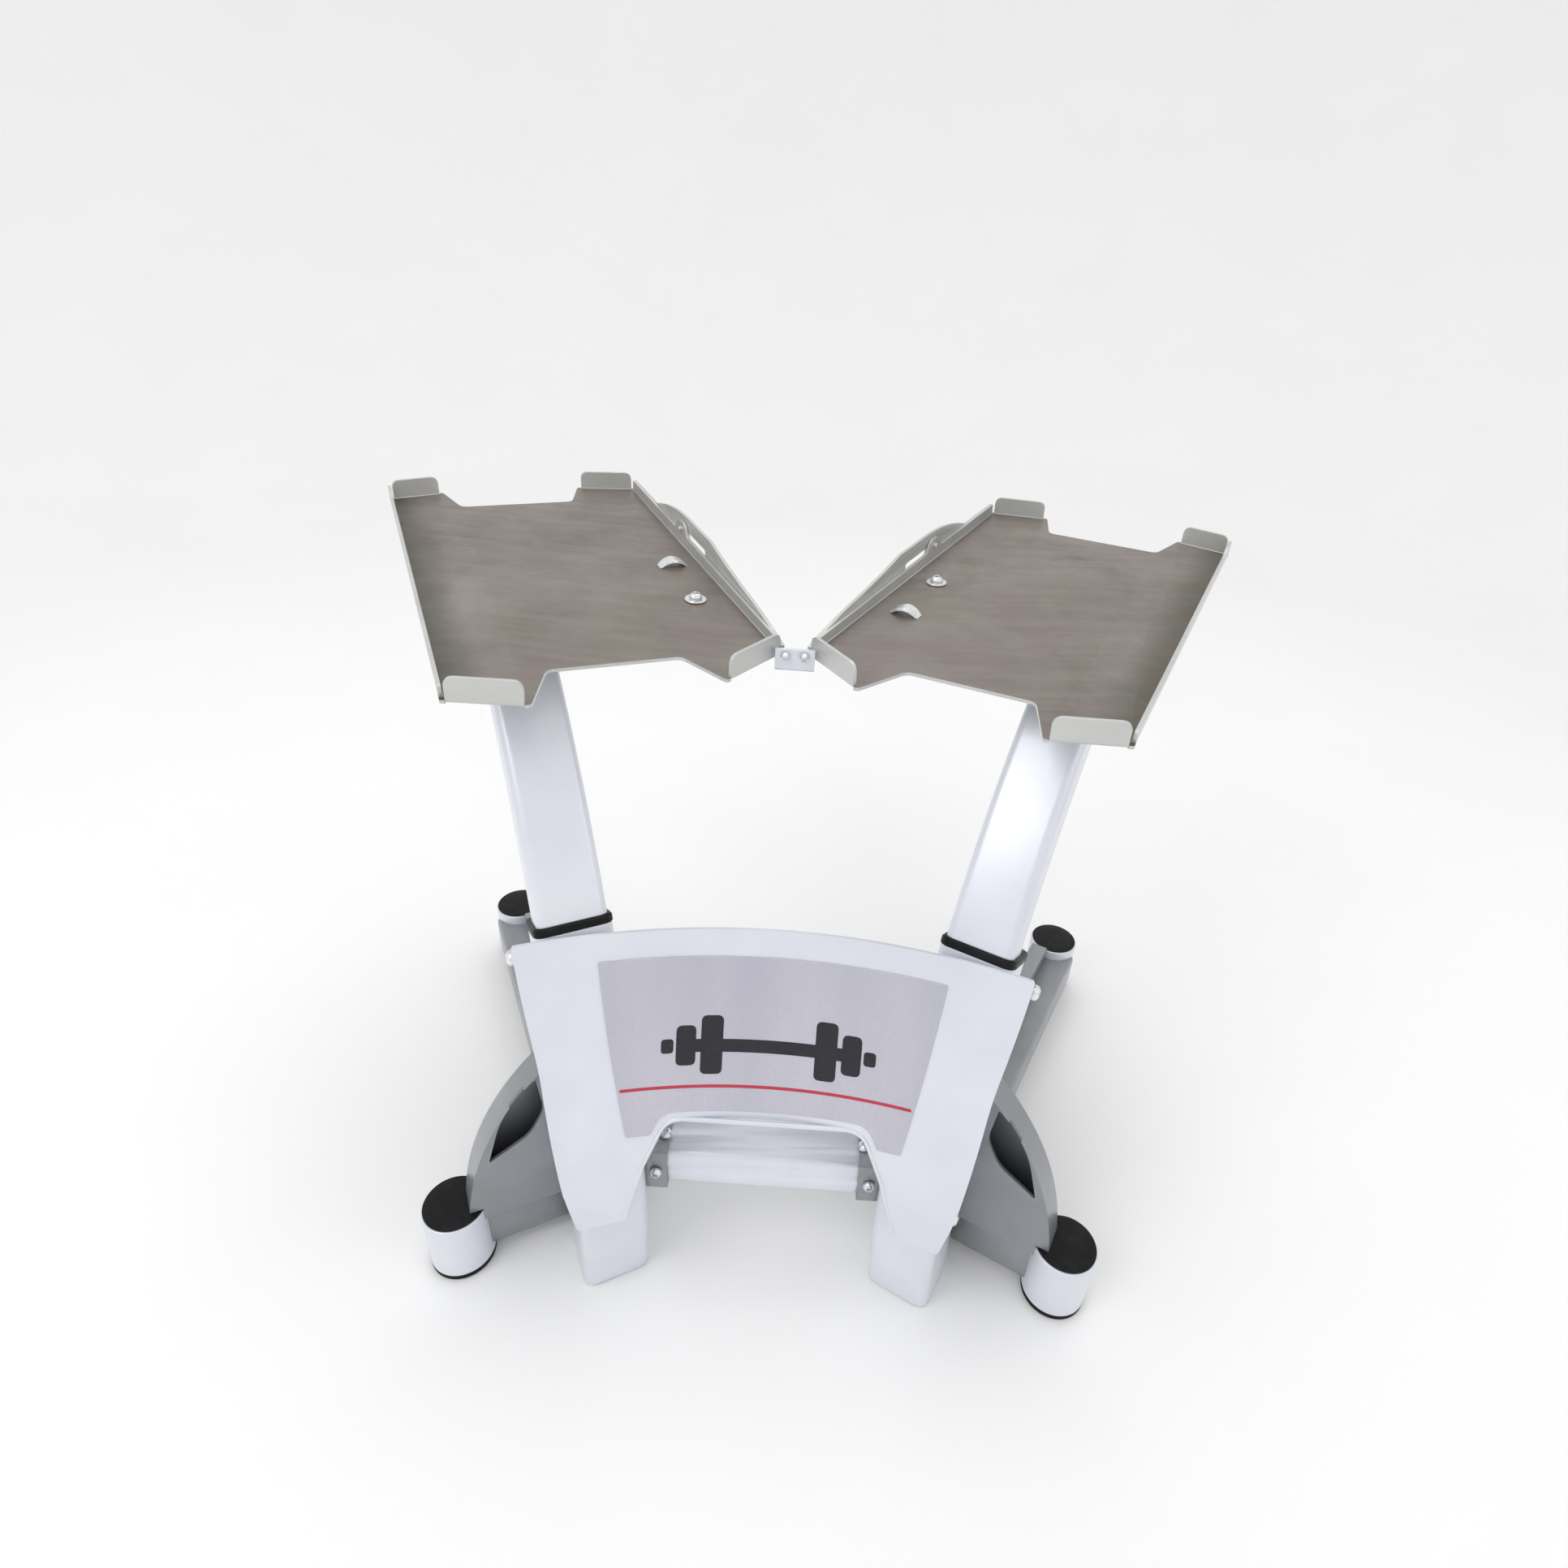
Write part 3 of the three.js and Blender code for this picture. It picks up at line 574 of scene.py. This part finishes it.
def build_feet():
    for kind, (profile, material, slot) in foot_pieces().items():
        for end in ("front", "rear"):
            for side in SIDES:
                node = f"{kind}_{end}_{side}"
                at = centre(node).xy.to_3d()
                bm = revolve(profile, 64)
                bmesh.ops.remove_doubles(bm, verts=bm.verts, dist=1e-6)
                finish_piece(f"{kind}_{end}_round_{side}", bm, Matrix.Translation(at), material, node)


# ---- Trays: a flat sheet whose tabs are bent up ----
INNER_RADIUS = 0.8 * MM
BEND_START = INNER_RADIUS + TRAY_SHEET
BEND_LENGTH = (INNER_RADIUS + TRAY_SHEET / 2) * math.pi / 2


# Corners of the sheet as (x, y, setback), each with the tab on the edge that follows it:
# the tab's inset from both corners and its kind.
TRAY_CORNERS = [
    ((0, 0), (4, 4.5, "lip")),
    ((62, -33, 4), None),
    ((84, 14, 6), None),
    ((190, 20, 6), None),
    ((211, -30, 4), (4.5, 4, "lip")),
    ((270, -5, 1), (4, 4, "outer")),
    ((268, 442, 1), (4, 4.5, "lip")),
    ((213, 453, 4), None),
    ((200, 403, 7), None),
    ((82, 403, 7), None),
    ((65, 451, 4), (4.5, 4, "lip")),
    ((0, 438), (4, 4, "inner")),
]


def tab_profile(kind, length):
    """A tab's upper outline from its end to its start, as distance along the edge and height."""
    if kind == "lip":
        points = [(length, 0), (length, 19, 8), (0, 19, 8), (0, 0)]
    elif kind == "inner":
        bolt = length - 257 + 4  # this tab runs from the rear to the front
        points = [(length, 0), (length, 9, 3), (bolt + 18, 11, 5), (bolt + 10, 23, 7), (bolt - 10, 23, 7),
                  (bolt - 18, 11, 5), (0, 11, 3), (0, 0)]
    else:
        points = [(length, 0), (length, 16, 4), (length - 18, 16, 6), (length - 36, 9, 10), (0, 9, 4), (0, 0)]
    return [p * MM for p in rounded(points, 6)[1:-1]]


def fold(p, height, tab):
    """Where a point of the flat pattern goes when its tab is bent up."""
    if tab is None:
        return Vector((p.x, p.y, height))
    foot, outward = tab
    s = (p - foot).dot(outward)
    base = p - outward * s
    reach = INNER_RADIUS - height
    if s < BEND_LENGTH:
        angle = s / BEND_LENGTH * math.pi / 2
        out, up = reach * math.sin(angle), INNER_RADIUS - reach * math.cos(angle)
    else:
        out, up = reach, INNER_RADIUS + s - BEND_LENGTH
    flat = base + outward * out
    return Vector((flat.x, flat.y, up))


def folded_tray():
    outline = [corner for corner, _ in TRAY_CORNERS]
    floor, strips = [], []
    for i, (corner, tab) in enumerate(TRAY_CORNERS):
        x, y, *rest = corner
        before, after = Vector(outline[i - 1][:2]), Vector(outline[(i + 1) % len(outline)][:2])
        here = Vector((x, y))
        if rest:
            ends = [here + (other - here).normalized() * rest[0] for other in (before, after)]
            floor += [(ends[0] * (1 - t) ** 2 + here * 2 * t * (1 - t) + ends[1] * t * t) * MM
                      for t in [k / 6 for k in range(7)]]
        else:
            floor.append(here * MM)
        if tab:
            along = (after - here).normalized()
            outward = Vector((along.y, -along.x))
            length = (after - here).length - tab[0] - tab[1]
            a, b = (here + along * tab[0]) * MM, (after - along * tab[1]) * MM
            inner_a, inner_b = a - outward * BEND_START, b - outward * BEND_START
            floor += [a, inner_a, inner_b, b]
            strips.append((inner_a, inner_b, along, outward, tab_profile(tab[2], length)))
    bm = bmesh.new()
    layers = {}

    def vertex(p, tab):
        key = (round(p.x, 7), round(p.y, 7), None if tab is None else tab[2])
        if key not in layers:
            bend = None if tab is None else tab[:2]
            layers[key] = [bm.verts.new(fold(p, height, bend)) for height in (0, -TRAY_SHEET)]
        return layers[key]

    faces = []

    def face(pairs, kind):
        top = bm.faces.new([pair[0] for pair in pairs])
        bottom = bm.faces.new([pair[1] for pair in reversed(pairs)])
        top.material_index, bottom.material_index = kind
        faces.append(pairs)

    face([vertex(p, None) for p in floor], (0, 1))
    steps = 7
    for number, (a, b, along, outward, profile) in enumerate(strips):
        tab = (a, outward, number)
        rows = [[vertex(a, None), vertex(b, None)]]
        for k in range(1, steps + 1):
            out = outward * (BEND_LENGTH * k / steps)
            rows.append([vertex(a + out, tab), vertex(b + out, tab)])
        for k, (low, high) in enumerate(zip(rows, rows[1:])):
            face([low[0], high[0], high[1], low[1]][::-1], (0 if k < 2 else 1, 1))
        rise = outward * (BEND_LENGTH - INNER_RADIUS)
        crest = [vertex(a + along * p.x + rise + outward * p.y, tab) for p in profile]
        face([rows[-1][0], rows[-1][1], *crest], (1, 1))
    # The rim of the sheet joins its two faces.
    uses = {}
    for pairs in faces:
        for p, q in zip(pairs, pairs[1:] + pairs[:1]):
            key = frozenset((p[0], q[0]))
            uses.setdefault(key, []).append((p, q))
    for found in uses.values():
        if len(found) == 1:
            p, q = found[0]
            rim = bm.faces.new((q[0], p[0], p[1], q[1]))
            rim.material_index = 1
    return bm


def build_trays():
    for side in SIDES:
        matrix = place(side, TRAY)
        finish_piece(
            f"tray_sheet_{side}",
            folded_tray(),
            matrix,
            [TRAY_FLOOR[side], TRAY_EDGE],
            f"tray_{side}",
            0.0006,
        )


# ---- Front panel ----
PANEL_BASE = HALF_ORIGIN.y + 8.2 * MM
PANEL_LEAN = 1.03
PANEL_RADIUS = 516 * MM
PANEL_THICK = 2.5 * MM


def panel_back(x, z):
    return PANEL_BASE + PANEL_LEAN * bow_front(z) - x**2 / (2 * PANEL_RADIUS)


def bowed_sheet(points, near, far, step=0.012):
    """An outline in x and z, cut into a fine grid and laid on the panel's surface."""
    bm = prism(points, -far, -near)
    bm.transform(UPRIGHT_PLANE)
    xs = [v.co.x for v in bm.verts]
    zs = [v.co.z for v in bm.verts]
    for axis, low, high in ((0, min(xs), max(xs)), (2, min(zs), max(zs))):
        normal = [0, 0, 0]
        normal[axis] = 1
        for k in range(1, math.ceil((high - low) / step)):
            point = [0, 0, 0]
            point[axis] = low + k * step
            geometry = bm.verts[:] + bm.edges[:] + bm.faces[:]
            bmesh.ops.bisect_plane(bm, geom=geometry, dist=1e-6, plane_co=point, plane_no=normal)
    for v in bm.verts:
        v.co.y += panel_back(v.co.x, v.co.z)
    return bm


def mirrored_outline(right):
    left = [(-x, z, *rest) for x, z, *rest in reversed(right)]
    return [(x * MM, z * MM, *[r * MM for r in rest]) for x, z, *rest in [*right, *left]]


CUT_OUT = [(117.5, 112, 4), (102, 176), (83, 223, 14)]
PANEL_EDGE = [(203.6, 381, 2), (181, 283, 20), (166.5, 157, 20), (157, 108, 5)]


def build_panel():
    outline = rounded(mirrored_outline([*PANEL_EDGE, *CUT_OUT]), 7)
    bm = bowed_sheet(outline, 0, PANEL_THICK)
    finish_piece("front_panel", bm, Matrix(), SILVER, "panel", 0.0007)
    # The cut-out has a rolled bead along its edge.
    half = [(-117.5, 118), *[(-x, z, *rest) for x, z, *rest in CUT_OUT[1:]]]
    bead = [(-x, z, *rest) for x, z, *rest in half] + half[::-1]
    path = rounded([(x * MM, z * MM, *[r * MM for r in rest]) for x, z, *rest in bead], 9)
    bm = bmesh.new()
    rows = []
    radius = 1.9 * MM
    for i, p in enumerate(path):
        ahead = path[min(i + 1, len(path) - 1)] - path[max(i - 1, 0)]
        side = Vector((ahead.y, -ahead.x)).normalized()
        row = []
        for k in range(14):
            angle = 2 * math.pi * k / 14
            offset = radius * math.cos(angle)
            x, z = p.x + side.x * offset, p.y + side.y * offset
            y = panel_back(x, z) - PANEL_THICK - radius * (math.sin(angle) - 0.2)
            row.append(bm.verts.new((x, y, z)))
        rows.append(row)
    for a, b in zip(rows, rows[1:]):
        bridge(bm, a, b)
    bm.faces.new(rows[0])
    bm.faces.new(rows[-1])
    finish_piece("panel_rim", bm, Matrix(), SILVER, None)


def build_label():
    corners = [(139.5, 361.5, 1.5), (115, 209.5, 1.5), (95.5, 209.5, 1.5), (86, 231, 12)]
    outline = rounded(mirrored_outline(corners), 7)
    front = PANEL_THICK + GAP
    sheet = bowed_sheet(outline, front, front + MM)
    finish_piece("label_sheet", sheet, Matrix(), LABEL, "label_plate", 0.0003)
    # A plain dumbbell pictogram: a handle, two plates at each end, and a bar under it.
    face = front + MM
    middle = 291
    shapes = {"handle": (0, middle, 74, 5.5, 1), "underline": (0, middle - 36, 120, 1.4, 1)}
    for sign, tag in ((1, "right"), (-1, "left")):
        shapes["inner_weight_" + tag] = (sign * 47, middle, 9, 25, 5)
        shapes["outer_weight_" + tag] = (sign * 68, middle, 8, 17, 5)
        shapes["knob_" + tag] = (sign * 83, middle, 5, 6, 3)
    for name, (x, z, half_x, half_z, corner) in shapes.items():
        box = [(x + sx * half_x, z + sz * half_z) for sx, sz in ((-1, -1), (1, -1), (1, 1), (-1, 1))]
        points = rounded([(px * MM, pz * MM, corner * MM) for px, pz in box], 6)
        ink = RED_INK if name == "underline" else INK
        shape = bowed_sheet(points, face, face + 0.15 * MM)
        finish_piece("print_" + name, shape, Matrix(), ink, None)


# ---- Front gusset, with its window ----
def quadratic(a, b, c, steps=20):
    a, b, c = Vector(a), Vector(b), Vector(c)
    return [a * (1 - t) ** 2 + b * 2 * t * (1 - t) + c * t * t for t in [k / steps for k in range(steps + 1)]]


GUSSET_FRONT, GUSSET_BACK, GUSSET_LOW = 66.5, 94, 60.3


def gusset_outline(inset):
    points = [Vector((-24 + inset, GUSSET_LOW + inset))]
    points += [Vector((119 - inset, GUSSET_LOW + inset))]
    foot, bend, top = (119 - inset, GUSSET_LOW + inset), (110 - inset, 172 - inset), (28, 238 - inset)
    points += quadratic(foot, bend, top, 28)[1:]
    points += [Vector((-24 + inset, 238 - inset))]
    return points


def foot_room(at):
    bm = revolve([(0, -0.01), (FOOT_RADIUS + GAP, -0.01), (FOOT_RADIUS + GAP, 0.0753), (0, 0.0753)], 64)
    bm.transform(Matrix.Translation(at.to_3d()))
    return bm


def upright_wall(points, front, back):
    """An outline in x and z, in millimetres, made solid between two y values."""
    bm = prism([(p[0] * MM, p[1] * MM) for p in points], front * MM, back * MM)
    bm.transform(UPRIGHT_PLANE)
    return bm


WINDOW = [(45, 221, 3), (41, 180, 10), (56, 154, 9), (94, 134, 4), (80, 180, 15), (62, 207, 8)]


def build_gussets():
    for side in SIDES:
        sheet = 3
        body = carve(
            upright_wall(gusset_outline(0), GUSSET_FRONT, GUSSET_BACK),
            [
                upright_wall(gusset_outline(sheet), GUSSET_FRONT + sheet, GUSSET_BACK - sheet),
                upright_wall(rounded(WINDOW, 6), GUSSET_FRONT - 5, GUSSET_FRONT + 5),
                foot_room(FRONT_FOOT),
            ],
        )
        node = f"gusset_front_{side}"
        finish_piece(f"gusset_box_{side}", body, place(side), GREY, node, 0.0012)


# ---- Fasteners ----
def bolt_head(radius, length, shank):
    """A button-head bolt with a hexagon socket, the underside of its head at z = 0."""
    socket = radius * 0.42
    return [
        (0, -length),
        (shank - 0.0004, -length),
        (shank, -length + 0.0004),
        (shank, 0),
        (radius - 0.0004, 0),
        (radius, 0.0005),
        (radius, 0.0018),
        (radius * 0.94, 0.0029),
        (radius * 0.8, 0.0040),
        (radius * 0.62, 0.0048),
        (socket * 1.2, 0.0053),
        (socket, 0.0051, True),
        (socket, 0.0022, True),
        (0, 0.0016),
    ]


def washer(inner, outer, low, high):
    edge = 0.0003
    rim = [(outer - edge, low), (outer, low + edge), (outer, high - edge), (outer - edge, high)]
    return [(inner, low), *rim, (inner, high), (inner, low)]


BOLTS = {
    "panel_bolt_top": (6.5, 22), "panel_bolt_low": (6.5, 13), "side_bolt": (5.5, 9),
    "crossbar_screw_top": (5.5, 11), "crossbar_screw_front": (5.5, 11), "link_bolt": (4, 8),
}


def bolt_axis(kind, side):
    """A bolt's axis, out of its head."""
    if kind.startswith("panel_bolt"):
        return place(side).to_3x3() @ Vector((1, 0, 0))
    if kind == "side_bolt":
        return place(side).to_3x3() @ Vector((-1, 0, 0))
    return Vector((0, 0, 1)) if kind == "crossbar_screw_top" else Vector((0, -1, 0))


def build_bolts():
    for kind, (radius, length) in BOLTS.items():
        for side in SIDES:
            node = f"{kind}_{side}"
            axis = bolt_axis(kind, side).normalized()
            along = [v.co.dot(axis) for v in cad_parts[node].data.vertices]
            base = centre(node)
            base += axis * (max(along) - 5.6 * MM - base.dot(axis))
            matrix = Matrix.Translation(base) @ axis.to_track_quat("Z", "Y").to_matrix().to_4x4()
            bm = revolve(bolt_head(radius * MM, length * MM, 0.5 * radius * MM), 48)
            finish_piece(f"{kind}_head_{side}", bm, matrix, ZINC, node)


FLOOR_PLACES = [(36, 116), (31, 199)]
FLOOR_FIXINGS = {"r": {"tray_clip": 0, "tray_bolt": 1}, "l": {"tray_clip": 1, "tray_bolt": 0}}


def clip_mesh():
    """A pressed strip that rises from the floor in a low arch, thicker in the middle."""
    bm = bmesh.new()
    rows = []
    steps = 24
    for k in range(steps + 1):
        t = k / steps
        x = (-14 + 28 * t) * MM
        top = (0.5 + 7.2 * math.sin(math.pi * t) ** 0.8) * MM
        bottom = max(0.3 * MM, top - 2.2 * MM)
        half = (5.2 + 2.0 * math.sin(math.pi * t)) * MM
        crest = half * 0.86
        section = ((-half, bottom), (half, bottom), (crest, top), (-crest, top))
        rows.append([bm.verts.new((x, y, z)) for y, z in section])
    for a, b in zip(rows, rows[1:]):
        bridge(bm, a, b)
    bm.faces.new(rows[0])
    bm.faces.new(rows[-1])
    return bm


def build_floor_fixings():
    for side in SIDES:
        for kind, index in FLOOR_FIXINGS[side].items():
            x, y = FLOOR_PLACES[index]
            at = Matrix.Translation(Vector((x, y, 0)) * MM)
            matrix = place(side, TRAY, at)
            node = f"{kind}_{side}"
            if kind == "tray_clip":
                finish_piece(f"clip_strip_{side}", clip_mesh(), matrix, ZINC, node, 0.0006, 60)
            else:
                lift = Matrix.Translation((0, 0, 1.8 * MM))
                bm = revolve(bolt_head(6 * MM, 15 * MM, 3.6 * MM), 48)
                finish_piece(f"floor_bolt_{side}", bm, matrix @ lift, ZINC, node)
                ring = revolve(washer(3.9 * MM, 10 * MM, GAP, 1.7 * MM), 48)
                bmesh.ops.remove_doubles(ring, verts=ring.verts, dist=1e-6)
                finish_piece(f"floor_washer_{side}", ring, matrix, ZINC, None)


# ---- CAD parts that keep their shape ----
KEPT = {
    "shoe": (SILVER, 0.0010),
    "rear_leg": (GREY, 0.0006),
    "outrigger": (GREY, 0.0006),
    "gusset_rear": (GREY, 0.0010),
    "crossbar_sleeve": (GREY, 0.0008),
    "side_plate": (TRAY_EDGE, 0.0006),
    "head_plate": (GREY, 0.0008),
}
KEPT_SINGLE = {"crossbar": (SILVER, 0.0006), "link_plate": (SILVER, 0.0006)}


def keep(node, material, bevel):
    """A CAD node keeps its mesh; its edges are rounded and it gets a finish."""
    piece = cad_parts[node]
    piece.data.materials.clear()
    piece.data.materials.append(material)
    weld = piece.modifiers.new("weld", "WELD")
    weld.merge_threshold = 1e-5
    flat = piece.modifiers.new("flat", "DECIMATE")
    flat.decimate_type = "DISSOLVE"
    flat.angle_limit = math.radians(0.6)
    add_bevel(piece, bevel, 50)
    piece.data.shade_smooth()


def dress_kept():
    for kind, (material, bevel) in KEPT.items():
        for side in SIDES:
            keep(f"{kind}_{side}", material, bevel)
    for node, (material, bevel) in KEPT_SINGLE.items():
        keep(node, material, bevel)


# ---- Floor, light and camera ----
def build_stage():
    m = Nodes("pale_floor", (0.93, 0.93, 0.93), 0.0, 0.75)
    m.color(m.mix(m.range(m.noise(3, 3), 0.3, 0.7, 0, 1), (0.925, 0.925, 0.925), (0.94, 0.94, 0.94)))
    # A flat floor that sweeps up into a wall all round, so that no horizon shows.
    flat, reach, rise = 2.6, 6.5, 0.36
    profile = [(0, 0), (flat, 0)]
    profile += [(r, rise * (r - flat) ** 2) for r in [flat + (reach - flat) * k / 24 for k in range(1, 25)]]
    bm = revolve(profile, 96)
    bmesh.ops.recalc_face_normals(bm, faces=bm.faces)
    bm.faces.ensure_lookup_table()
    if bm.faces[0].normal.z < 0:
        bmesh.ops.reverse_faces(bm, faces=bm.faces)
    mesh = bpy.data.meshes.new("floor")
    bm.to_mesh(mesh)
    bm.free()
    mesh.materials.append(m.material)
    floor = bpy.data.objects.new("floor", mesh)
    floor.location.z = -0.0004
    bpy.context.scene.collection.objects.link(floor)
    mesh.shade_smooth()

    world = bpy.data.worlds.new("studio")
    world.use_nodes = True
    background = world.node_tree.nodes["Background"]
    background.inputs["Color"].default_value = (1.0, 1.0, 1.0, 1)
    background.inputs["Strength"].default_value = 0.9
    bpy.context.scene.world = world

    lights = [
        ("key", (-1.6, -1.5, 2.6), 1.6, 19),
        ("fill", (2.2, -1.0, 1.6), 1.6, 3),
        ("top", (0.2, 0.6, 2.8), 2.0, 10),
    ]
    for name, place_at, size, power in lights:
        light = bpy.data.lights.new(name, "AREA")
        light.shape = "DISK"
        light.size = size
        light.energy = power
        lamp = bpy.data.objects.new(name, light)
        lamp.location = place_at
        aim_at = Vector((0, 0, 0.3))
        lamp.rotation_euler = (aim_at - lamp.location).to_track_quat("-Z", "Y").to_euler()
        bpy.context.scene.collection.objects.link(lamp)


CAMERA_FROM_HALF = Vector((19.5, -493.3, 855.7)) * MM  # from x = 0 and the halves' own origin in y
CAMERA_PITCH = math.radians(29.6)
CAMERA_ROLL = math.radians(-3.8)


def build_camera():
    data = bpy.data.cameras.new("camera")
    data.sensor_width = 36
    data.lens = 20.39
    data.shift_x = -0.0175
    data.shift_y = -0.0116
    data.clip_start = 0.01
    camera = bpy.data.objects.new("camera", data)
    camera.location = CAMERA_FROM_HALF + Vector((0, HALF_ORIGIN.y, 0))
    forward = Vector((0, math.cos(CAMERA_PITCH), -math.sin(CAMERA_PITCH)))
    right = Vector((1, 0, 0))
    down = forward.cross(right)
    c, s = math.cos(CAMERA_ROLL), math.sin(CAMERA_ROLL)
    columns = (c * right + s * down, -(-s * right + c * down), -forward)
    camera.rotation_mode = "QUATERNION"
    camera.rotation_quaternion = Matrix(columns).transposed().to_quaternion()
    bpy.context.scene.collection.objects.link(camera)
    bpy.context.scene.camera = camera
    bpy.context.scene.view_settings.view_transform = "Standard"


build_stage()
build_camera()
build_columns()
build_collars()
build_feet()
build_trays()
build_panel()
build_label()
build_gussets()
build_bolts()
build_floor_fixings()
dress_kept()
